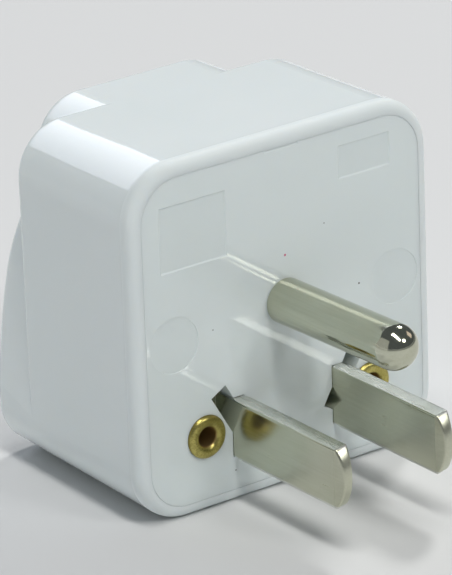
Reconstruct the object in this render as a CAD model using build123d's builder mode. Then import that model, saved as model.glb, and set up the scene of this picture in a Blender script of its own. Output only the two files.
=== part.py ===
from build123d import *
import os
from math import tan, radians

# Grounded travel plug adapter, in millimetres.
# X runs across the plug face, Y goes back from the plug face to the socket end, Z is up.
# The origin is on the plug face, midway between the two flat blades.

# Plug pins, to the standard sizes of the grounded flat-blade plug
blade_spacing = 12.70
blade_width = 6.35
blade_thickness = 1.52
blade_length = 16.70  # from the face to the corners of the tip
blade_crown = 1.20  # rise of the tip's arc past its corners
blade_edge_radius = 0.12
bevel_length = 1.35  # coined bevel on both faces, back from the crown
bevel_depth = 0.24
foot_reach = 7.00  # the foot's outer end, from the middle of the blade
ground_diameter = 4.80
ground_length = 19.90
ground_rise = 11.89  # the ground pin's axis above the blades' centre line
ground_neck_diameter = 3.60
ground_head_diameter = 5.40  # riveted tail behind the earth contact
ground_head_height = 0.80

# Housing block, with its rim round the plug face
face_width = 37.50
face_height = 37.95
blade_line_height = 8.20  # the blades' centre line above the face's lower edge
corner_radius = 5.90
draft_angle = 1.25
block_depth = 20.20
front_edge_radius = 1.20
rear_edge_radius = 1.00
rim_width = 1.40
wall = 2.20

# Socket end: its sides lean inwards, round a shoulder and sweep up into a narrow tongue
socket_depth = 5.80
socket_wall = 2.00
side_relief = 0.30  # start of the side's curve, inside the face's half width
lean_height = 1.40  # the sides curve inwards from here, above the lower edge
flank_radius = 91.0
flank_angle = 11.7
shoulder_radius = 20.0
shoulder_angle = 22.3
waist_radius = 8.65
tongue_corner_radius = 5.50

# Socket apertures, one outline for each pole that takes several plug standards
round_pitch = 19.00
round_hole_diameter = 5.30
flat_pitch = 22.20
flat_hole_width = 7.00
flat_hole_height = 4.50
earth_slot_rise = 22.20
earth_slot_width = 4.60
earth_slot_height = 8.60
earth_bar_rise = 15.60

# Slanted blades of the other plug standard, which the slots also take
slant_pitch = 14.10
slant_rise = 1.40
slant_angle = 30.0
slant_blade_width = 6.30
slant_blade_thickness = 1.63
slot_clearance = 0.22
blade_clearance = 0.04  # round the adapter's own blades, in the cover

# Barrier walls between the three contacts
barrier_thickness = 1.40
shelf_rise = 6.80
shelf_front = 5.40
divider_front = 10.40

# Plug cover, set into the rim
cover_thickness = 2.80
seam_gap = 0.02
seam_radius = 0.05
pin_clearance = 0.05
panel_depth = 0.10
panel_slope = 60.0  # lean of the sunk panels' walls
mark_panel_width = 8.20
mark_panel_height = 7.00
mark_panel_centre = (-11.10, 22.00)
rating_panel_width = 6.60
rating_panel_height = 3.60
rating_panel_centre = (10.40, 24.80)
ejector_diameter = 5.90
ejector_depth = 0.05
ejector_pitch = 27.80

# Snap hooks that hold the cover, behind a shallow notch at the middle of its upper and lower edges
hook_width = 4.30
hook_thickness = 1.20
hook_catch = 7.20  # distance of the catch behind the face
hook_lead = 2.00
hook_height = 0.90
hook_clearance = 0.30
catch_clearance = 0.10
notch_height = 0.30

# Eyelets, each clamping a blade's foot and a contact to the cover
rivet_pitch = 20.90
rivet_barrel_diameter = 2.80
rivet_bore_diameter = 2.10
rivet_flange_diameter = 4.60
rivet_flange_height = 0.55
rivet_clinch_diameter = 4.20
rivet_clinch_height = 0.50

# Sprung contacts, folded from brass strip
strip_thickness = 0.60
strip_bend_radius = 0.80
contact_inner = 5.30
contact_width = 9.00
contact_half_gap = 3.60
throat_half_gap = 1.90
throat_depth = 15.50
mouth_half_gap = 4.00
mouth_depth = 20.60
earth_half_gap = 4.20
earth_mouth_half_gap = 3.60
earth_shelf_gap = 1.10  # under the earth contact
earth_roof_gap = 2.00  # over the earth contact

# Places that follow from the sizes above
total_depth = block_depth + socket_depth
face_bottom = -blade_line_height
face_top = face_height - blade_line_height
face_centre = (face_bottom + face_top) / 2
blade_x = blade_spacing / 2
rivet_x = rivet_pitch / 2
cavity_width = face_width - 2 * wall
cavity_height = face_height - 2 * wall
cavity_radius = corner_radius - wall
cavity_end = total_depth - socket_wall
block_cavity_end = block_depth - socket_wall
rear_shrink = 2 * total_depth * tan(radians(draft_angle))
foot_back = cover_thickness + blade_thickness
contact_back = foot_back + strip_thickness
earth_back = cover_thickness + strip_thickness
earth_contact_bottom = shelf_rise + barrier_thickness / 2 + earth_shelf_gap
earth_contact_top = face_top - wall - earth_roof_gap
bend_radius = blade_clearance + blade_thickness / 2
bend_start = foot_back - blade_thickness / 2 - bend_radius
crown_y = -blade_length - blade_crown
both_sides = (-1, 1)

# Sketch plane that looks from the plug face towards the socket end
rearward = Plane(origin=(0, 0, 0), x_dir=(-1, 0, 0), z_dir=(0, 1, 0))


def face_outline(inset):
    """Rounded outline of the plug face, drawn smaller by an inset all round."""
    with Locations((0, face_centre)):
        RectangleRounded(face_width - 2 * inset, face_height - 2 * inset, corner_radius - inset)


def socket_profile():
    """Outline of the socket end: leaning flanks, round shoulders and a waist that sweeps up to the tongue."""
    side_reach = face_width / 2 - side_relief
    with BuildLine() as outline:
        base = Line((0, face_bottom - wall), (side_reach, face_bottom - wall))
        upright = Line(base @ 1, (side_reach, face_bottom + lean_height))
        flank = JernArc(upright @ 1, upright % 1, flank_radius, flank_angle)
        shoulder = JernArc(flank @ 1, flank % 1, shoulder_radius, shoulder_angle)
        waist = JernArc(shoulder @ 1, shoulder % 1, waist_radius, -flank_angle - shoulder_angle)
        tongue = Line(waist @ 1, ((waist @ 1).X, face_top + wall))
        Line(tongue @ 1, (0, face_top + wall))
        mirror(about=Plane.YZ)
    make_face(outline.edges())


def forked_slot(side, clearance):
    """Upright blade slot joined with the slanted slot of the other standard, its top leaning outwards."""
    with Locations((side * blade_x, 0)):
        Rectangle(blade_thickness + 2 * clearance, blade_width + 2 * clearance)
    with Locations((side * slant_pitch / 2, slant_rise)):
        Rectangle(
            slant_blade_thickness + 2 * slot_clearance,
            slant_blade_width + 2 * slot_clearance,
            rotation=-side * slant_angle,
        )


def snap_hook(side):
    """Section of a snap hook along the cavity's upper or lower wall, with a sloped barb at its end."""
    outer = face_centre + side * (cavity_height / 2 - hook_clearance)
    inner = outer - side * hook_thickness
    hook_end = hook_catch + hook_lead
    with BuildLine() as section:
        Polyline(
            (cover_thickness, inner),
            (hook_end, inner),
            (hook_end, outer),
            (hook_catch, outer + side * hook_height),
            (hook_catch, outer),
            (cover_thickness, outer),
            close=True,
        )
    make_face(section.edges())


def catch_pocket(side):
    """Section of the pocket in the cavity's upper or lower wall that a snap hook's barb springs into."""
    depth = hook_height - hook_clearance + catch_clearance
    with Locations((hook_catch + hook_lead / 2, face_centre + side * cavity_height / 2)):
        Rectangle(hook_lead + 2 * catch_clearance, 2 * depth)


# Socket end: the drafted block carried further back and trimmed to the socket's own outline
with BuildPart() as socket_end:
    with BuildSketch(rearward):
        face_outline(0)
    extrude(amount=total_depth, taper=draft_angle)
    with BuildSketch(rearward.offset(block_cavity_end)):
        socket_profile()
    extrude(amount=socket_depth + socket_wall, mode=Mode.INTERSECT)
    tongue_edges = socket_end.faces().sort_by(Axis.Z)[-1].edges().sort_by(Axis.X)
    fillet([tongue_edges[0], tongue_edges[-1]], tongue_corner_radius)
    fillet(socket_end.faces().sort_by(Axis.Y)[-1].edges(), rear_edge_radius)

# Housing: drafted block with the socket end behind it, hollow inside
with BuildPart() as housing:
    with BuildSketch(rearward):
        face_outline(0)
    extrude(amount=block_depth, taper=draft_angle)
    fillet(housing.faces().sort_by(Axis.Y)[-1].edges(), rear_edge_radius)
    fillet(housing.faces().sort_by(Axis.Y)[0].edges(), front_edge_radius)
    add(socket_end.part)
    with BuildSketch(rearward):
        face_outline(rim_width)
    extrude(amount=cover_thickness, mode=Mode.SUBTRACT)
    with BuildSketch(rearward.offset(cover_thickness)):
        face_outline(wall)
    extrude(amount=block_cavity_end - cover_thickness, mode=Mode.SUBTRACT)
    with BuildSketch(rearward.offset(block_cavity_end)) as socket_cavity:
        socket_profile()
        offset(amount=-wall, kind=Kind.INTERSECTION)
        with Locations((0, face_centre)):
            RectangleRounded(
                cavity_width - rear_shrink,
                cavity_height - rear_shrink,
                cavity_radius,
                mode=Mode.INTERSECT,
            )
        top_corners = socket_cavity.vertices().group_by(Axis.Y)[-1]
        fillet(top_corners, tongue_corner_radius - wall)
    extrude(amount=cavity_end - block_cavity_end, mode=Mode.SUBTRACT)
    with BuildSketch(rearward.offset(shelf_front)):
        with Locations((0, shelf_rise)):
            Rectangle(cavity_width + wall / 2, barrier_thickness)
    extrude(amount=cavity_end - shelf_front)
    with BuildSketch(rearward.offset(divider_front)):
        with Locations((0, shelf_rise)):
            Rectangle(
                barrier_thickness,
                shelf_rise - face_bottom - wall / 2,
                align=(Align.CENTER, Align.MAX),
            )
    extrude(amount=cavity_end - divider_front)
    with BuildSketch(rearward.offset(cavity_end)):
        for side in both_sides:
            forked_slot(side, slot_clearance)
            with Locations((side * round_pitch / 2, 0)):
                Circle(round_hole_diameter / 2)
            with Locations((side * flat_pitch / 2, 0)):
                Rectangle(flat_hole_width, flat_hole_height)
        with Locations((0, ground_rise)):
            Circle(ground_diameter / 2 + slot_clearance)
        with Locations((0, earth_bar_rise)):
            Rectangle(
                slant_blade_thickness + 2 * slot_clearance,
                slant_blade_width + 2 * slot_clearance,
            )
        with Locations((0, earth_slot_rise)):
            Rectangle(earth_slot_width, earth_slot_height)
    extrude(amount=socket_wall, mode=Mode.SUBTRACT)
    with BuildSketch(Plane.YZ):
        for side in both_sides:
            catch_pocket(side)
    extrude(amount=hook_width / 2 + catch_clearance, both=True, mode=Mode.SUBTRACT)
housing.part.label = "housing"

# Plug cover: plate with forked slots, sunk panels, ejector marks and two snap hooks
with BuildPart() as plug_cover:
    with BuildSketch(Plane.XZ):
        face_outline(rim_width + seam_gap)
    extrude(amount=-cover_thickness)
    fillet(plug_cover.faces().sort_by(Axis.Y)[0].edges(), seam_radius)
    with BuildSketch(Plane.XZ):
        for side in both_sides:
            forked_slot(side, blade_clearance)
            with Locations((side * rivet_x, 0)):
                Circle(rivet_barrel_diameter / 2 + pin_clearance)
        with Locations((0, ground_rise)):
            Circle(ground_neck_diameter / 2 + pin_clearance)
    extrude(amount=-cover_thickness, mode=Mode.SUBTRACT)
    with BuildSketch(Plane.XZ):
        with Locations(mark_panel_centre):
            Rectangle(mark_panel_width, mark_panel_height)
        with Locations(rating_panel_centre):
            Rectangle(rating_panel_width, rating_panel_height)
        with Locations((0, face_centre)):
            with GridLocations(0, face_height - 2 * (rim_width + seam_gap), 1, 2):
                Rectangle(hook_width, 2 * notch_height)
    extrude(amount=-panel_depth, taper=panel_slope, mode=Mode.SUBTRACT)
    with BuildSketch(Plane.XZ):
        with Locations((0, face_centre)):
            with GridLocations(ejector_pitch, 0, 2, 1):
                Circle(ejector_diameter / 2)
    extrude(amount=-ejector_depth, mode=Mode.SUBTRACT)
    with BuildSketch(Plane.YZ):
        for side in both_sides:
            snap_hook(side)
    extrude(amount=hook_width / 2, both=True)
plug_cover.part.label = "plug_cover"

# Line blade: straight pin with rolled edges, folded outwards into a foot behind the cover,
# with a rounded and bevelled tip
with BuildPart() as line_blade:
    with BuildSketch(Plane.XZ.offset(-crown_y)):
        with Locations((blade_x, 0)):
            RectangleRounded(blade_thickness, blade_width, blade_edge_radius)
    extrude(amount=crown_y - bend_start)
    with BuildSketch(Plane.XY):
        with BuildLine():
            FilletPolyline(
                (blade_x, bend_start - blade_thickness),
                (blade_x, foot_back - blade_thickness / 2),
                (blade_x + foot_reach, foot_back - blade_thickness / 2),
                radius=bend_radius,
            )
        trace(line_width=blade_thickness)
    extrude(amount=blade_width / 2, both=True)
    with BuildSketch(Plane.YZ):
        with BuildLine():
            tip_top = (-blade_length, blade_width / 2)
            tip_bottom = (-blade_length, -blade_width / 2)
            ThreePointArc(tip_top, (crown_y, 0), tip_bottom)
            Polyline(tip_bottom, (foot_back, -blade_width / 2), (foot_back, blade_width / 2), tip_top)
        make_face()
    extrude(amount=blade_x + foot_reach, mode=Mode.INTERSECT)
    with BuildSketch(Plane.XY):
        for side in both_sides:
            face_x = blade_x + side * blade_thickness / 2
            with BuildLine():
                Polyline(
                    (face_x, crown_y + bevel_length),
                    (face_x, crown_y),
                    (face_x - side * bevel_depth, crown_y),
                    close=True,
                )
            make_face()
    extrude(amount=blade_width / 2, both=True, mode=Mode.SUBTRACT)
    with BuildSketch(Plane.XZ):
        with Locations((rivet_x, 0)):
            Circle(rivet_barrel_diameter / 2 + pin_clearance)
    extrude(amount=-foot_back, mode=Mode.SUBTRACT)
line_blade.part.label = "line_blade"

with BuildPart() as neutral_blade:
    mirror(line_blade.part, about=Plane.YZ)
neutral_blade.part.label = "neutral_blade"

# Ground pin: turned, domed at its end, with a neck through the cover and a riveted tail
with BuildPart() as ground_pin:
    with BuildSketch(Plane.YZ):
        with BuildLine():
            pin_radius = ground_diameter / 2
            neck = ground_rise + ground_neck_diameter / 2
            head = ground_rise + ground_head_diameter / 2
            head_dome_radius = (ground_head_diameter**2 / 4 + ground_head_height**2) / 2 / ground_head_height
            dome = JernArc((-ground_length, ground_rise), (0, 1), pin_radius, -90)
            Polyline(
                dome @ 1,
                (0, ground_rise + pin_radius),
                (0, neck),
                (earth_back, neck),
                (earth_back, head),
            )
            RadiusArc(
                (earth_back, head),
                (earth_back + ground_head_height, ground_rise),
                head_dome_radius,
            )
            Line((earth_back + ground_head_height, ground_rise), (-ground_length, ground_rise))
        make_face()
    revolve(axis=Axis((0, 0, ground_rise), (0, 1, 0)))
ground_pin.part.label = "ground_pin"

# Eyelets: tubes with a rolled rim in front and a flat clinched rim behind the contact
with BuildPart() as contact_rivets:
    for side in both_sides:
        with BuildSketch(Plane.XY):
            with BuildLine():
                bore = side * (rivet_x + rivet_bore_diameter / 2)
                barrel = side * (rivet_x + rivet_barrel_diameter / 2)
                flange = side * (rivet_x + rivet_flange_diameter / 2)
                clinch = side * (rivet_x + rivet_clinch_diameter / 2)
                clinch_back = contact_back + rivet_clinch_height
                ThreePointArc((bore, 0), ((bore + flange) / 2, -rivet_flange_height), (flange, 0))
                Polyline(
                    (flange, 0),
                    (barrel, 0),
                    (barrel, contact_back),
                    (clinch, contact_back),
                    (clinch, clinch_back),
                    (bore, clinch_back),
                    (bore, 0),
                )
            make_face()
        revolve(axis=Axis((side * rivet_x, 0, 0), (0, 1, 0)))
contact_rivets.part.label = "contact_rivets"

# Line contact: one strip folded into a clip that pinches a plug's pin from above and below
with BuildPart() as line_contact:
    with BuildSketch(Plane.YZ.offset(contact_inner)):
        with BuildLine():
            base_y = foot_back + strip_thickness / 2
            upper_leaf = [
                (mouth_depth, mouth_half_gap),
                (throat_depth, throat_half_gap),
                (base_y, contact_half_gap),
            ]
            lower_leaf = [(y, -z) for y, z in reversed(upper_leaf)]
            FilletPolyline(*upper_leaf, *lower_leaf, radius=strip_bend_radius)
        trace(line_width=strip_thickness)
    extrude(amount=contact_width)
    with BuildSketch(Plane.XZ.offset(-foot_back)):
        with Locations((rivet_x, 0)):
            Circle(rivet_barrel_diameter / 2 + pin_clearance)
    extrude(amount=-strip_thickness, mode=Mode.SUBTRACT)
line_contact.part.label = "line_contact"

with BuildPart() as neutral_contact:
    mirror(line_contact.part, about=Plane.YZ)
neutral_contact.part.label = "neutral_contact"

# Earth contact: a taller clip that pinches an earth pin from both sides, whatever its height
with BuildPart() as earth_contact:
    with BuildSketch(Plane.XY.offset(earth_contact_bottom)):
        with BuildLine():
            right_leaf = [
                (earth_mouth_half_gap, mouth_depth),
                (throat_half_gap, throat_depth),
                (earth_half_gap, earth_back - strip_thickness / 2),
            ]
            left_leaf = [(-x, y) for x, y in reversed(right_leaf)]
            FilletPolyline(*right_leaf, *left_leaf, radius=strip_bend_radius)
        trace(line_width=strip_thickness)
    extrude(amount=earth_contact_top - earth_contact_bottom)
    with BuildSketch(Plane.XZ.offset(-cover_thickness)):
        with Locations((0, ground_rise)):
            Circle(ground_neck_diameter / 2 + pin_clearance)
    extrude(amount=-strip_thickness, mode=Mode.SUBTRACT)
earth_contact.part.label = "earth_contact"

os.makedirs("parts", exist_ok=True)
export_step(housing.part, "parts/housing.step")
export_step(plug_cover.part, "parts/plug_cover.step")
export_step(line_blade.part, "parts/line_blade.step")
export_step(neutral_blade.part, "parts/neutral_blade.step")
export_step(ground_pin.part, "parts/ground_pin.step")
export_step(contact_rivets.part, "parts/contact_rivets.step")
export_step(line_contact.part, "parts/line_contact.step")
export_step(neutral_contact.part, "parts/neutral_contact.step")
export_step(earth_contact.part, "parts/earth_contact.step")
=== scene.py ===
"""Plug adapter: pins, eyelets, finishes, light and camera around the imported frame. Units are metres."""
import math

import bmesh
import bpy
import numpy as np
from mathutils import Matrix, Vector


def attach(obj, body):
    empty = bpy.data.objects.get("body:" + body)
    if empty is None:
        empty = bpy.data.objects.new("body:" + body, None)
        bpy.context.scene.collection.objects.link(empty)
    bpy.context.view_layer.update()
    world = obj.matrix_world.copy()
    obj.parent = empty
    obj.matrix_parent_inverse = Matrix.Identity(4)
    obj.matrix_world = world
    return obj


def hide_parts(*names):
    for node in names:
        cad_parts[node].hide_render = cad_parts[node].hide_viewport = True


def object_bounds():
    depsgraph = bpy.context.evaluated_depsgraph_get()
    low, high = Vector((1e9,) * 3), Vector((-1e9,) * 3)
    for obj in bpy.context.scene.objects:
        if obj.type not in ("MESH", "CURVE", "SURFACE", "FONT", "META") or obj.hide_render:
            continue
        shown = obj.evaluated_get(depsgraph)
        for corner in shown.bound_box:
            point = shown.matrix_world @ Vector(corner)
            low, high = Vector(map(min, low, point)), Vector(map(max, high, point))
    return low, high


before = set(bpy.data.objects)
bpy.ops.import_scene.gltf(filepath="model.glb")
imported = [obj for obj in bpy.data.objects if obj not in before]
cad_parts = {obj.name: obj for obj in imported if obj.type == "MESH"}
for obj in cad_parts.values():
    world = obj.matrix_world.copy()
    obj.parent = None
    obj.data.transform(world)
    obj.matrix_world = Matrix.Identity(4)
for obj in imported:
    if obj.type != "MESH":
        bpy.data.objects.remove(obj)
cad_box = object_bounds()

MM = 0.001

# Camera of the photograph, fitted to the pins of standard size
PHOTO_WIDTH = 452
PHOTO_HEIGHT = 575
FOCAL_PIXELS = 4944
CAMERA_AZIMUTH = math.radians(-36.03)
CAMERA_ELEVATION = math.radians(21.85)
CAMERA_ROLL = math.radians(-2.13)
CAMERA_DISTANCE = 500.0 * MM
AIM_RIGHT = 6.38 * MM
AIM_UP = -12.29 * MM
SENSOR = 36.0
NEAR_CLIP = 10 * MM

# Pins and eyelets, in millimetres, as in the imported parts
BLADE_X = 6.35
BLADE_HALF_WIDTH = 3.175
BLADE_HALF_THICKNESS = 0.76
BLADE_CORNER_Y = -16.70
BLADE_CROWN = 1.20
BEVEL_LENGTH = 1.35
BEVEL_DEPTH = 0.24
BEND_RADIUS = 0.80
FOOT_MIDDLE_Y = 3.56
FOOT_END_X = 13.35
EYELET_X = 10.45
EYELET_HOLE_RADIUS = 1.45
EYELET_BORE = 1.05
EYELET_BARREL = 1.40
EYELET_RIM = 2.30
EYELET_RIM_HEIGHT = 0.55
EYELET_CLINCH = 2.10
EYELET_CLINCH_START = 4.92
EYELET_CLINCH_END = 5.42
PIN_RISE = 11.89
PIN_RADIUS = 2.40
PIN_TIP_Y = -19.90
PIN_NECK = 1.80
PIN_TAIL = 2.70
PIN_TAIL_Y = 3.40
PIN_TAIL_HEIGHT = 0.80

# Finer forms of the same pieces: lengths in millimetres, slopes and shares
BLADE_ROLL = 0.22
BEVEL_BLEND = 0.10
FOOT_CORNER = 0.30
SHEAR_SLOPE = 0.23
SHEAR_BAND = 0.16
EYELET_ROLL_LIFT = 0.06
EYELET_RIM_INSET = 0.03
EYELET_WEAR = 0.05
EYELET_WAVES = ((2, 0.045, 1), (5, 0.0315, 2), (9, 0.018, 0))  # count round the rim, share of height, phase
PIN_EDGE = 0.12
PIN_LEAN = 0.0235

# Spacing of the grids
BLADE_ROLL_STEPS = 9
BLADE_FACE_STEPS = 7
ROUND = np.linspace(0, 2 * np.pi, 96, endpoint=False)[None, :]
MERGE_DISTANCE = 1e-7


def camera_axes():
    """Right, up and back axes of the camera.

    Azimuth turns it about Z, elevation lifts it, and roll turns it about its line of sight."""
    az, el = CAMERA_AZIMUTH, CAMERA_ELEVATION
    back = Vector((math.sin(az) * math.cos(el), -math.cos(az) * math.cos(el), math.sin(el)))
    level = Vector((math.cos(az), math.sin(az), 0))
    upright = back.cross(level)
    c, s = math.cos(CAMERA_ROLL), math.sin(CAMERA_ROLL)
    return c * level + s * upright, c * upright - s * level, back


def add_camera():
    """Camera at the photograph's place, with the lens that gives its focal length in pixels."""
    right, up, back = camera_axes()
    data = bpy.data.cameras.new("camera")
    data.sensor_width = SENSOR
    data.lens = FOCAL_PIXELS * SENSOR / max(PHOTO_WIDTH, PHOTO_HEIGHT)
    data.clip_start = NEAR_CLIP
    camera = bpy.data.objects.new("camera", data)
    place = CAMERA_DISTANCE * back - AIM_RIGHT * right - AIM_UP * up
    turn = Matrix((right, up, back)).transposed().to_4x4()
    camera.matrix_world = Matrix.Translation(place) @ turn
    bpy.context.scene.collection.objects.link(camera)
    bpy.context.scene.camera = camera


# Light

def add_area_light(name, place, size, power, colour, facing=None, shape="RECTANGLE", turn=0.0):
    """Flat lamp at a place, which shines along a direction or else straight at the part.

    It is then turned about that direction by an angle in degrees."""
    data = bpy.data.lights.new(name, "AREA")
    data.shape = shape
    data.size, data.size_y = size
    data.energy = power
    data.color = colour
    lamp = bpy.data.objects.new(name, data)
    lamp.location = place
    towards = Vector(facing) if facing else -Vector(place)
    lamp.rotation_euler = towards.to_track_quat("-Z", "Y").to_euler()
    lamp.rotation_euler.rotate_axis("Z", math.radians(turn))
    bpy.context.scene.collection.objects.link(lamp)


def add_lights():
    """Lamps where the pin's dome mirrors them, and the dim grey of the room.

    A ceiling tube, round lamps in front and behind, a window behind and a wall on either side."""
    white, daylight, pale, warm = (1, 0.99, 0.97), (0.84, 0.87, 1), (1, 0.99, 0.96), (1, 0.80, 0.72)
    down, forwards, rightwards = (0, 0, -1), (0, -1, 0), (1, 0, 0)
    add_area_light("ceiling_tube", (-0.15, -0.67, 1.3), (0.24, 1.4), 12.2, white, down, turn=6.7)
    add_area_light("front_lamp", (0.45, -1.21, 0.96), (0.40, 0.40), 3.5, white, shape="DISK")
    add_area_light("back_lamp", (0.97, 0.59, 1.13), (0.28, 0.28), 8.8, white, shape="DISK")
    add_area_light("window", (0.06, 1.2, 0.855), (1.43, 0.39), 4.8, daylight, forwards)
    add_area_light("left_wall", (-1.4, 0.6, 0.7), (2.2, 1.4), 3.5, pale, rightwards)
    add_area_light("warm_wall", (1.2, -0.25, 0.69), (0.5, 0.5), 0.7, warm)
    room_grey = (0.107, 0.117, 0.127, 1)
    world = bpy.data.worlds.new("room")
    world.use_nodes = True
    world.node_tree.nodes["Background"].inputs["Color"].default_value = room_grey
    bpy.context.scene.world = world
    bpy.context.scene.view_settings.view_transform = "Standard"


# Surfaces as grids of points

def grid_quads(rows, columns, wrap_rows=False, wrap_columns=False):
    """Corner numbers of the quads between neighbouring rows and columns of a grid of points."""
    r = np.arange(rows if wrap_rows else rows - 1)[:, None]
    c = np.arange(columns if wrap_columns else columns - 1)[None, :]
    r_next, c_next = (r + 1) % rows, (c + 1) % columns
    corners = (r * columns + c, r * columns + c_next, r_next * columns + c_next, r_next * columns + c)
    return np.stack(corners, axis=-1).reshape(-1, 4)


def add_smooth(name, mesh, material):
    """Object at the origin from a mesh, with smooth faces and one material."""
    mesh.polygons.foreach_set("use_smooth", np.ones(len(mesh.polygons), dtype=bool))
    mesh.materials.append(material)
    made = bpy.data.objects.new(name, mesh)
    bpy.context.scene.collection.objects.link(made)
    return made


def add_piece(name, parts, material, node):
    """One piece from grids of (points in mm, quads), in place of a CAD node.

    Doubles are merged, and then the faces are turned outwards."""
    mesh = bpy.data.meshes.new(name)
    points, quads, offset = [], [], 0
    for grid, corners in parts:
        points.append(grid.reshape(-1, 3) * MM)
        quads.append(corners + offset)
        offset += points[-1].shape[0]
    mesh.from_pydata(np.concatenate(points).tolist(), [], np.concatenate(quads).tolist())
    shape = bmesh.new()
    shape.from_mesh(mesh)
    bmesh.ops.remove_doubles(shape, verts=shape.verts, dist=MERGE_DISTANCE)
    bmesh.ops.dissolve_degenerate(shape, edges=shape.edges, dist=MERGE_DISTANCE)
    bmesh.ops.recalc_face_normals(shape, faces=shape.faces)
    shape.to_mesh(mesh)
    shape.free()
    piece = add_smooth(name, mesh, material)
    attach(piece, "root")
    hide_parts(node)


def arc(centre, radius, start, end, count):
    """Points on an ellipse: centre + (radius[0] cos a, radius[1] sin a), a in degrees from start to end."""
    a = np.radians(np.linspace(start, end, count))
    return np.stack([centre[0] + radius[0] * np.cos(a), centre[1] + radius[1] * np.sin(a)], axis=-1)


def turned(profile, x, z):
    """Surface of revolution about an axis along Y.

    Each profile point (r, y) goes round as (x + r cos a, y, z + r sin a)."""
    r, y = profile[:, :1], profile[:, 1:]
    return np.stack([x + r * np.cos(ROUND), y + 0 * ROUND, z + r * np.sin(ROUND)], axis=-1)


def pin_grid():
    """Ground pin: half-round end, straight shaft with a broken edge at the face, neck and riveted tail.

    In front of the face it leans up a little, as it was riveted: Z rises in proportion to the distance
    from the face."""
    dome_y = PIN_TIP_Y + PIN_RADIUS
    shaft_start = dome_y + 0.1
    end = arc((0, dome_y), (PIN_RADIUS, PIN_RADIUS), -90, 0, 33)
    shaft = np.stack([np.full(40, PIN_RADIUS), np.linspace(shaft_start, -PIN_EDGE, 40)], axis=-1)
    shoulder = arc((PIN_RADIUS - PIN_EDGE, -PIN_EDGE), (PIN_EDGE, PIN_EDGE), 15, 90, 6)
    neck = np.array([[PIN_NECK, 0], [PIN_NECK, PIN_TAIL_Y], [PIN_TAIL, PIN_TAIL_Y]])
    tail = arc((0, PIN_TAIL_Y), (PIN_TAIL, PIN_TAIL_HEIGHT), 0, 90, 12)
    grid = turned(np.concatenate([end, shaft, shoulder, neck, tail]), 0, PIN_RISE)
    grid[..., 2] += PIN_LEAN * np.maximum(-grid[..., 1], 0)
    return grid, grid_quads(*grid.shape[:2], wrap_columns=True)


def eyelet_grid(side):
    """Eyelet: closed profile of rolled rim, barrel, clinched rim and bore, turned about its axis.

    The rim is worn a little lower, and its height swells and shrinks by a few sines of the angle round
    the axis, as a punch leaves it."""
    roll_middle = (EYELET_BORE + EYELET_RIM) / 2
    roll_size = (EYELET_RIM - roll_middle, EYELET_RIM_HEIGHT - EYELET_ROLL_LIFT)
    roll = arc((roll_middle, -EYELET_ROLL_LIFT), roll_size, -180, 0, 29)
    rim_foot = [EYELET_RIM - EYELET_RIM_INSET, 0]
    under = np.array([rim_foot, [EYELET_BARREL, 0], [EYELET_BARREL, EYELET_CLINCH_START]])
    clinch_middle = (EYELET_BORE + EYELET_CLINCH) / 2
    clinch_size = (EYELET_CLINCH - clinch_middle, EYELET_CLINCH_END - EYELET_CLINCH_START)
    clinch = arc((clinch_middle, EYELET_CLINCH_START), clinch_size, 0, 180, 17)
    bore_back, bore_front = EYELET_CLINCH_START - 0.2, 0.15
    bore = np.stack([np.full(8, EYELET_BORE), np.linspace(bore_back, bore_front, 8)], axis=-1)
    grid = turned(np.concatenate([roll, under, clinch, bore]), side * EYELET_X, 0)
    raised = np.clip(-grid[..., 1] / EYELET_RIM_HEIGHT, 0, 1)
    swell = sum(share * np.sin(count * ROUND + phase * side) for count, share, phase in EYELET_WAVES)
    grid[..., 1] *= 1 + (swell - EYELET_WEAR) * raised
    return grid, grid_quads(*grid.shape[:2], wrap_rows=True, wrap_columns=True)


def folded(along, across, lift, side):
    """Flat strip bent outwards behind the face.

    Up to the bend, along is Y. In the bend it is the angle times the radius, and past it runs outwards
    along X."""
    bend_start = FOOT_MIDDLE_Y - BEND_RADIUS
    angle = np.clip((along - bend_start) / BEND_RADIUS, 0, np.pi / 2)
    past = np.maximum(along - bend_start - BEND_RADIUS * np.pi / 2, 0)
    reach = BEND_RADIUS - lift
    x = BLADE_X + BEND_RADIUS - reach * np.cos(angle) + past
    y = np.minimum(along, bend_start) + reach * np.sin(angle)
    return np.stack([side * x, y, across], axis=-1)


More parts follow.
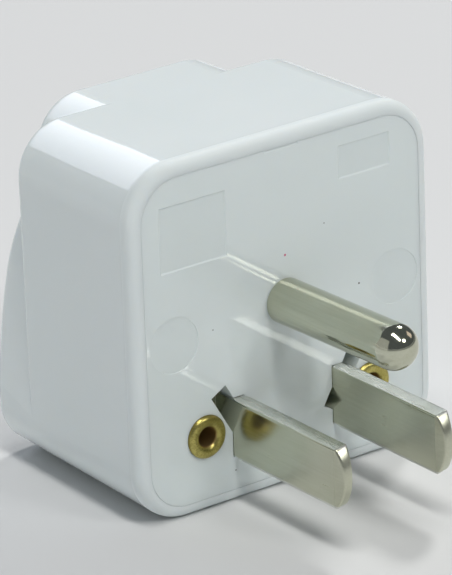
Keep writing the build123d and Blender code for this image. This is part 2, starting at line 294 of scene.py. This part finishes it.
def blade_half_outline():
    """Upper half of the flat blade's outline, from the middle of its crown to the middle of its foot's end.

    Points are (along, across). The crease of the bevel and the start of the foot follow, both along."""
    tip_share, crease_share = 0.97, 0.8
    past_crease, past_corner = 0.4, 0.2
    crown_y = BLADE_CORNER_Y - BLADE_CROWN
    crown_radius = (BLADE_HALF_WIDTH**2 + BLADE_CROWN**2) / (2 * BLADE_CROWN)
    sweep = tip_share * math.degrees(math.asin(BLADE_HALF_WIDTH / crown_radius))
    tip = arc((crown_y + crown_radius, 0), (crown_radius, crown_radius), 180, 180 - sweep, 24)
    bevel_y = crown_y + BEVEL_LENGTH
    crease = bevel_y + BEVEL_BLEND * np.linspace(-crease_share, 1, 9)
    bend_start = FOOT_MIDDLE_Y - BEND_RADIUS
    straight = np.linspace(bevel_y + past_crease, bend_start, 30)
    foot_start = bend_start + BEND_RADIUS * np.pi / 2
    bend = np.linspace(bend_start, foot_start, 9)[1:]
    foot_end = foot_start + FOOT_END_X - BLADE_X - BEND_RADIUS
    foot = np.linspace(foot_start, foot_end - FOOT_CORNER, 24)[1:]
    edge_y = np.concatenate([crease, straight, bend, foot])
    edge = np.stack([edge_y, np.full(edge_y.size, BLADE_HALF_WIDTH)], axis=-1)
    corner_centre = (foot_end - FOOT_CORNER, BLADE_HALF_WIDTH - FOOT_CORNER)
    corner = arc(corner_centre, (FOOT_CORNER, FOOT_CORNER), 80, 0, 5)
    end_top = BLADE_HALF_WIDTH - FOOT_CORNER - past_corner
    end = np.stack([np.full(10, foot_end), np.linspace(end_top, 0, 10)], axis=-1)
    return np.concatenate([tip, edge, corner, end]), bevel_y, foot_start


def blade_grid(side):
    """Blade: a rolled edge carried round the flat outline, with faces that close on the middle line and
    on the hole of the foot.

    Towards the tip both faces slope inwards in proportion to the distance past the crease of the bevel.
    In front of the face the narrow edges lean, as a shear leaves them: Z rises in proportion to X across
    the blade."""
    half, bevel_y, foot_start = blade_half_outline()
    outline = np.concatenate([half, (half * [1, -1])[-2:0:-1]])
    ahead, behind = np.roll(outline, -1, axis=0), np.roll(outline, 1, axis=0)
    run = ahead - behind
    inward = np.stack([run[:, 1], -run[:, 0]], axis=-1) / np.linalg.norm(run, axis=1)[:, None]

    hole = np.array([foot_start + EYELET_X - BLADE_X - BEND_RADIUS, 0])
    near_hole = hole[0] - EYELET_HOLE_RADIUS
    middle = np.stack([np.clip(outline[:, 0], bevel_y, near_hole), np.zeros(len(outline))], axis=-1)
    round_hole = outline[:, 0] > near_hole
    first, last = np.flatnonzero(round_hole)[[0, -1]]
    turn = np.pi - 2 * np.pi * np.linspace(0, 1, last - first + 1)
    middle[round_hole] = hole + EYELET_HOLE_RADIUS * np.stack([np.cos(turn), np.sin(turn)], axis=-1)

    roll = np.radians(np.linspace(0, 90, BLADE_ROLL_STEPS))
    inset = BLADE_ROLL * (1 - np.sin(roll))
    drop = BLADE_ROLL * (1 - np.cos(roll))
    rim = outline[:, None, :] + np.concatenate([inset, inset[::-1]])[None, :, None] * inward[:, None, :]
    spread = np.linspace(1, 0, BLADE_FACE_STEPS + 1)[:-1][None, :, None]
    face = rim[:, :1] + spread * (middle[:, None, :] - rim[:, :1])
    flat = np.concatenate([face, rim, face[:, ::-1]], axis=1)

    plain = np.zeros(BLADE_FACE_STEPS)
    level = np.concatenate([plain, drop, drop[::-1], plain])
    sign = np.repeat([1, -1], BLADE_FACE_STEPS + BLADE_ROLL_STEPS)
    past = np.clip(bevel_y + BEVEL_BLEND - flat[..., 0], 0, None)
    blend = np.minimum(past, 2 * BEVEL_BLEND)
    slope = blend**2 / (4 * BEVEL_BLEND) + np.maximum(past - 2 * BEVEL_BLEND, 0)
    half_thickness = BLADE_HALF_THICKNESS - BEVEL_DEPTH / BEVEL_LENGTH * slope
    grid = folded(flat[..., 0], flat[..., 1], sign * (half_thickness - level), side)
    grid[..., 2] += SHEAR_SLOPE * (grid[..., 0] - side * BLADE_X) * np.clip(-grid[..., 1], 0, 1)

    rows, columns = flat.shape[:2]
    quads = grid_quads(rows, columns, wrap_rows=True)
    ring = np.arange(first, last) * columns
    next_ring, across = ring + columns, columns - 1
    wall = np.stack([ring, next_ring, next_ring + across, ring + across], axis=-1)
    return grid, np.concatenate([quads, wall])


def add_floor():
    """Pale paper dish: flat under the part, then a quarter round up to a low upright edge.

    Its profile (r, z) is turned about Z as (r cos a, r sin a, z)."""
    flat, reach, bend, top = 1.0, 2.4, 0.2, 0.3
    paper, paper_roughness = (0.70, 0.71, 0.71, 1), 0.75
    low = cad_box[0].z
    turn = np.linspace(0, np.pi / 2, 17)
    r = np.concatenate([[0, flat], reach - bend + bend * np.sin(turn), [reach]])
    z = low + np.concatenate([[0, 0], bend - bend * np.cos(turn), [top]])
    a = np.linspace(0, 2 * np.pi, 97)[:, None]
    grid = np.stack([r * np.cos(a), r * np.sin(a), z + 0 * a], axis=-1)
    mesh = bpy.data.meshes.new("floor")
    mesh.from_pydata(grid.reshape(-1, 3).tolist(), [], grid_quads(*grid.shape[:2]).tolist())
    material = bpy.data.materials.new("floor")
    material.use_nodes = True
    shader = material.node_tree.nodes["Principled BSDF"]
    shader.inputs["Base Color"].default_value = paper
    shader.inputs["Roughness"].default_value = paper_roughness
    sheet = add_smooth("floor", mesh, material)


# Finishes

def add_node(tree, kind, inputs, **settings):
    """New shader node with its settings, and its inputs linked to sockets or set to values."""
    node = tree.nodes.new(kind)
    for name, value in settings.items():
        setattr(node, name, value)
    for name, value in inputs.items():
        if isinstance(value, bpy.types.NodeSocket):
            tree.links.new(value, node.inputs[name])
        else:
            node.inputs[name].default_value = value
    return node


def new_group(name, inputs, outputs):
    """Empty shader node group with a Vector input, float inputs (name: default) and float outputs."""
    group = bpy.data.node_groups.new(name, "ShaderNodeTree")
    group.interface.new_socket("Vector", in_out="INPUT", socket_type="NodeSocketVector")
    for socket, value in inputs.items():
        made = group.interface.new_socket(socket, in_out="INPUT", socket_type="NodeSocketFloat")
        made.default_value = value
    for socket in outputs:
        group.interface.new_socket(socket, in_out="OUTPUT", socket_type="NodeSocketFloat")
    return group, group.nodes.new("NodeGroupInput").outputs, group.nodes.new("NodeGroupOutput").inputs


def noise(tree, vector, scale, detail=2.0, stretch=None):
    """Noise value over a vector, which may first be stretched by a scale for each axis."""
    if stretch:
        mapping = add_node(tree, "ShaderNodeMapping", {"Vector": vector, "Scale": stretch})
        vector = mapping.outputs["Vector"]
    node = add_node(tree, "ShaderNodeTexNoise", {"Vector": vector, "Scale": scale, "Detail": detail})
    return node.outputs["Fac"]


def math_node(tree, operation, *values):
    """Value of a math node over sockets and numbers."""
    return add_node(tree, "ShaderNodeMath", dict(enumerate(values)), operation=operation).outputs[0]


def raise_by(tree, value, mask, amount):
    """Value with an amount added in proportion to a mask."""
    return math_node(tree, "ADD", value, math_node(tree, "MULTIPLY", mask, amount))


def remap(tree, value, low, high, to_low=0.0, to_high=1.0):
    """Value carried linearly from one range to another and held at its ends."""
    inputs = {"Value": value, "From Min": low, "From Max": high, "To Min": to_low, "To Max": to_high}
    return add_node(tree, "ShaderNodeMapRange", inputs).outputs["Result"]


def mix(tree, factor, first, second):
    """Colour between two colours."""
    node = add_node(tree, "ShaderNodeMix", {"Factor": factor}, data_type="RGBA")
    for socket, value in (("A_Color", first), ("B_Color", second)):
        target = next(s for s in node.inputs if s.identifier == socket)
        if isinstance(value, bpy.types.NodeSocket):
            tree.links.new(value, target)
        else:
            target.default_value = (*value, 1)
    return next(s for s in node.outputs if s.identifier == "Result_Color")


def speck_group():
    """Sparse small specks: close to the centres of the Voronoi cells whose random value is low."""
    group, given, out = new_group("specks", {"Scale": 250.0, "Size": 0.03, "Share": 0.15}, ["Mask"])
    cells = add_node(group, "ShaderNodeTexVoronoi", {"Vector": given["Vector"], "Scale": given["Scale"]})
    chosen = math_node(group, "LESS_THAN", cells.outputs["Color"], given["Share"])
    close = math_node(group, "LESS_THAN", cells.outputs["Distance"], given["Size"])
    group.links.new(math_node(group, "MULTIPLY", chosen, close), out["Mask"])
    return group


def scratch_group():
    """Hairline scratches: the thin contour line of a noise that is stretched along one way.

    A second noise breaks the line."""
    group, given, out = new_group("scratches", {"Scale": 120.0, "Width": 0.004}, ["Mask"])
    field = noise(group, given["Vector"], given["Scale"], 1.0, (1.0, 0.25, 0.6))
    off_line = math_node(group, "ABSOLUTE", math_node(group, "SUBTRACT", field, 0.5))
    line = math_node(group, "LESS_THAN", off_line, given["Width"])
    breaks = remap(group, noise(group, given["Vector"], 300.0), 0.52, 0.62)
    group.links.new(math_node(group, "MULTIPLY", line, breaks), out["Mask"])
    return group


def moulded_skin_group():
    """Skin of a polished moulding: drift of tone, cloudy haze and the faint ripple of flowing plastic."""
    group, given, out = new_group("moulded_skin", {}, ["Tone", "Haze", "Height"])
    group.links.new(remap(group, noise(group, given["Vector"], 70.0), 0.3, 0.7), out["Tone"])
    cloud = remap(group, noise(group, given["Vector"], 45.0, 4.0), 0.42, 0.72)
    grit = remap(group, noise(group, given["Vector"], 2600.0, 1.0), 0.2, 0.8, 0.6, 1.0)
    group.links.new(math_node(group, "MULTIPLY", cloud, grit), out["Haze"])
    ripple = noise(group, given["Vector"], 130.0, 1.0)
    peel, peel_share = noise(group, given["Vector"], 1100.0, 1.0), 0.06
    group.links.new(raise_by(group, ripple, peel, peel_share), out["Height"])
    return group


def drawn_grain_group():
    """Grain of drawn and plated metal: fine streaks along Y, and slow patches of tarnish."""
    group, given, out = new_group("drawn_grain", {}, ["Streaks", "Patches"])
    fine = noise(group, given["Vector"], 1.0, 3.0, (5200.0, 130.0, 5200.0))
    group.links.new(remap(group, fine, 0.3, 0.7), out["Streaks"])
    group.links.new(remap(group, noise(group, given["Vector"], 260.0, 4.0), 0.4, 0.75), out["Patches"])
    return group


def place_group(tree, group, vector, **values):
    """Outputs of a node group placed in a material, fed with Object coordinates and its own values."""
    node = add_node(tree, "ShaderNodeGroup", {}, node_tree=group)
    tree.links.new(vector, node.inputs["Vector"])
    for name, value in values.items():
        node.inputs[name].default_value = value
    return node.outputs


def new_material(name, metallic):
    """Principled material, its tree, its shader and its Object coordinates."""
    material = bpy.data.materials.new(name)
    material.use_nodes = True
    tree = material.node_tree
    shader = tree.nodes["Principled BSDF"]
    shader.inputs["Metallic"].default_value = metallic
    place = tree.nodes.new("ShaderNodeTexCoord").outputs["Object"]
    return material, tree, shader, place


def split_axes(tree, place):
    """X, Y and Z of a vector."""
    return add_node(tree, "ShaderNodeSeparateXYZ", {"Vector": place}).outputs


def set_bump(tree, shader, height, depth, strength):
    """Bump of a given depth in metres on the shader's normal."""
    bump = add_node(tree, "ShaderNodeBump", {"Height": height, "Distance": depth, "Strength": strength})
    tree.links.new(bump.outputs["Normal"], shader.inputs["Normal"])


def spot(tree, place, centre, radius):
    """Mask of a round spot: 1 within a radius of a centre, both in millimetres."""
    ends = {0: place, 1: [v * MM for v in centre]}
    apart = add_node(tree, "ShaderNodeVectorMath", ends, operation="DISTANCE")
    return math_node(tree, "LESS_THAN", apart.outputs["Value"], radius * MM)


def moulding(name, light, dark, ior, groups, rim_to=None, sunk_from=None, spots=()):
    """Polished white plastic: drifting tone, cloudy gloss, hairlines and a few specks in the skin.

    A duller rim round the plug face fades out at a given depth; along its top it is greyer, a painted shade
    over the front fillet. Marks that are sunk into the face, further back than a given depth, are duller and
    a little darker."""
    speck_grey, hair_roughness = (0.16, 0.16, 0.14), 0.10
    rim_fade, rim_roughness = 0.65, 0.6
    painted_shade_from, painted_shade_to, painted_shade_factor = 25 * MM, 28 * MM, 0.92
    sunk_roughness, sunk_share, sunk_shade = 0.30, 0.14, 0.85
    material, tree, shader, place = new_material(name, 0.0)
    skin = place_group(tree, groups["skin"], place)
    hair = place_group(tree, groups["scratches"], place, Scale=90.0, Width=0.0009)["Mask"]
    specks = place_group(tree, groups["specks"], place, Scale=210.0, Size=0.028, Share=0.10)["Mask"]
    tone = mix(tree, specks, mix(tree, skin["Tone"], light, dark), speck_grey)
    gloss = raise_by(tree, remap(tree, skin["Haze"], 0.0, 1.0, 0.04, 0.10), hair, hair_roughness)
    axes = split_axes(tree, place)
    if rim_to:
        rim = remap(tree, axes["Y"], rim_fade * rim_to * MM, rim_to * MM, 1.0, 0.0)
        gloss = raise_by(tree, gloss, rim, rim_roughness)
        # painted shade: the top of the rim is greyed to damp the light on the front fillet
        rim_top_painted_shade = math_node(tree, "MULTIPLY", rim, remap(tree, axes["Z"], painted_shade_from, painted_shade_to))
        tone = mix(tree, rim_top_painted_shade, tone, [painted_shade_factor * v for v in dark])
    if sunk_from:
        sunk = math_node(tree, "GREATER_THAN", axes["Y"], sunk_from * MM)
        gloss = raise_by(tree, gloss, sunk, sunk_roughness)
        shaded = math_node(tree, "MULTIPLY", sunk, sunk_share)
        tone = mix(tree, shaded, tone, [sunk_shade * v for v in dark])
    for centre, radius, colour in spots:
        tone = mix(tree, spot(tree, place, centre, radius), tone, colour)
    tree.links.new(tone, shader.inputs["Base Color"])
    tree.links.new(gloss, shader.inputs["Roughness"])
    shader.inputs["IOR"].default_value = ior
    shader.inputs["Subsurface Weight"].default_value = 0.35
    shader.inputs["Subsurface Radius"].default_value = (1.0, 0.9, 0.8)
    shader.inputs["Subsurface Scale"].default_value = 1.0 * MM
    set_bump(tree, shader, skin["Height"], 0.05 * MM, 0.6)
    return material


def nickel_plate(name, smooth, rough, groups, sheared=0.0):
    """Bright nickel plate on drawn metal: streaks along the pins, warm tarnish in patches, hairlines.

    The sheared edges of a blade are paler, partly from the sheared metal and partly as a painted highlight
    for the bright reflection along them, and rougher by a given amount. Its coined tip is rougher by twice
    that amount."""
    streak_dark, streak_light = (0.53, 0.54, 0.425), (0.59, 0.60, 0.485)
    tarnish, tarnish_share = (0.48, 0.47, 0.34), 0.35
    # edge colours: sheared metal plus a painted highlight for the reflection the edges catch
    edge_shear_and_sheen_bright, edge_shear_and_sheen_dull = (0.72, 0.73, 0.69), (0.54, 0.55, 0.49)
    hair_roughness = 0.06
    material, tree, shader, place = new_material(name, 1.0)
    grain = place_group(tree, groups["grain"], place)
    hair = place_group(tree, groups["scratches"], place, Scale=420.0, Width=0.006)["Mask"]
    clean = mix(tree, grain["Streaks"], streak_dark, streak_light)
    tone = mix(tree, math_node(tree, "MULTIPLY", grain["Patches"], tarnish_share), clean, tarnish)
    gloss = remap(tree, grain["Streaks"], 0.0, 1.0, smooth, rough)
    if sheared:
        axes = split_axes(tree, place)
        height = math_node(tree, "ABSOLUTE", axes["Z"])
        edge = math_node(tree, "GREATER_THAN", height, (BLADE_HALF_WIDTH - SHEAR_BAND) * MM)
        bevel_y = BLADE_CORNER_Y - BLADE_CROWN + BEVEL_LENGTH
        tip = math_node(tree, "LESS_THAN", axes["Y"], bevel_y * MM)
        duller = math_node(tree, "MAXIMUM", edge, math_node(tree, "MULTIPLY", tip, 2.0))
        gloss = raise_by(tree, gloss, duller, sheared)
        # paler edges: partly the sheared metal, partly a painted highlight standing in for their bright
        # reflection
        tone = mix(tree, edge, tone, mix(tree, grain["Patches"], edge_shear_and_sheen_bright, edge_shear_and_sheen_dull))
    tree.links.new(tone, shader.inputs["Base Color"])
    tree.links.new(raise_by(tree, gloss, hair, hair_roughness), shader.inputs["Roughness"])
    set_bump(tree, shader, grain["Streaks"], 0.0015 * MM, 0.5)
    return material


def eyelet_brass(groups):
    """Rolled brass eyelet with fine pits: bright on its crest, browner at its outer edge and in its bore.

    Crest, edge and bore go by the distance from the eyelet's own axis."""
    crest_bright, crest_dull, pit_brown = (0.57, 0.51, 0.17), (0.39, 0.34, 0.10), (0.34, 0.28, 0.08)
    edge_brown, bore_brown = (0.27, 0.22, 0.06), (0.55, 0.40, 0.18)
    bore_roughness, rim_roughness = 0.5, 0.33
    material, tree, shader, place = new_material("eyelet_brass", 1.0)
    axes = split_axes(tree, place)
    off = math_node(tree, "SUBTRACT", math_node(tree, "ABSOLUTE", axes["X"]), EYELET_X * MM)
    squares = [math_node(tree, "MULTIPLY", v, v) for v in (off, axes["Z"])]
    radius = math_node(tree, "SQRT", math_node(tree, "ADD", *squares))
    grain = place_group(tree, groups["grain"], place)
    rim = remap(tree, radius, (EYELET_BORE + 0.01) * MM, (EYELET_BORE + 0.12) * MM)
    edge = remap(tree, radius, (EYELET_RIM - 0.12) * MM, EYELET_RIM * MM)
    pits = noise(tree, place, 5500.0, 2.0)
    crest = mix(tree, grain["Patches"], crest_bright, crest_dull)
    pitted = mix(tree, remap(tree, pits, 0.42, 0.62, 0.0, 0.7), crest, pit_brown)
    # darker brown over the outer edge of the rim, where it meets the face
    edge_darkened = mix(tree, edge, pitted, edge_brown)
    tree.links.new(mix(tree, rim, bore_brown, edge_darkened), shader.inputs["Base Color"])
    tree.links.new(remap(tree, rim, 0.0, 1.0, bore_roughness, rim_roughness), shader.inputs["Roughness"])
    set_bump(tree, shader, pits, 0.02 * MM, 0.5)
    return material


def contact_brass(groups):
    """Spring brass strip: rolled streaks, dull patches and hairlines where plugs have wiped it."""
    clean, dull = (0.78, 0.58, 0.26), (0.55, 0.38, 0.15)
    wiped, wiped_share = (0.9, 0.72, 0.4), 0.6
    material, tree, shader, place = new_material("spring_brass", 1.0)
    grain = place_group(tree, groups["grain"], place)
    hair = place_group(tree, groups["scratches"], place, Scale=300.0, Width=0.01)["Mask"]
    strip = mix(tree, grain["Patches"], clean, dull)
    tone = mix(tree, math_node(tree, "MULTIPLY", hair, wiped_share), strip, wiped)
    tree.links.new(tone, shader.inputs["Base Color"])
    tree.links.new(remap(tree, grain["Streaks"], 0.0, 1.0, 0.24, 0.36), shader.inputs["Roughness"])
    set_bump(tree, shader, grain["Streaks"], 0.002 * MM, 0.5)
    return material


add_camera()
add_lights()
add_floor()

groups = {
    "specks": speck_group(),
    "scratches": scratch_group(),
    "skin": moulded_skin_group(),
    "grain": drawn_grain_group(),
}

# Single spots on the plug face: centre and radius in millimetres, and colour
ink_red = (0.62, 0.20, 0.30)
soot = (0.14, 0.14, 0.13)
face_spots = [
    ((0.11, 0, 16.72), 0.14, ink_red),
    ((5.12, 0, 18.85), 0.07, soot),
    ((9.35, 0, 11.23), 0.11, soot),
    ((-9.11, 0, 11.14), 0.07, soot),
    ((-6.92, 0, -4.71), 0.08, soot),
]
housing_light, housing_dark = (0.82, 0.88, 0.885), (0.80, 0.865, 0.87)
cover_light, cover_dark = (0.787, 0.857, 0.857), (0.772, 0.842, 0.842)
housing_white = moulding("housing_white", housing_light, housing_dark, 1.46, groups, rim_to=1.9)
cover_white = moulding("cover_white", cover_light, cover_dark, 1.53, groups, sunk_from=0.03, spots=face_spots)
pin_nickel = nickel_plate("pin_nickel", 0.07, 0.11, groups)
blade_nickel = nickel_plate("blade_nickel", 0.18, 0.24, groups, sheared=0.05)
rim_brass = eyelet_brass(groups)
spring_brass = contact_brass(groups)

finishes = {
    "housing": housing_white,
    "plug_cover": cover_white,
    "line_contact": spring_brass,
    "neutral_contact": spring_brass,
    "earth_contact": spring_brass,
}
for node, material in finishes.items():
    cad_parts[node].material_slots[0].material = material

add_piece("ground_pin_turned", [pin_grid()], pin_nickel, "ground_pin")
add_piece("line_blade_coined", [blade_grid(1)], blade_nickel, "line_blade")
add_piece("neutral_blade_coined", [blade_grid(-1)], blade_nickel, "neutral_blade")
add_piece("eyelets_rolled", [eyelet_grid(1), eyelet_grid(-1)], rim_brass, "contact_rivets")
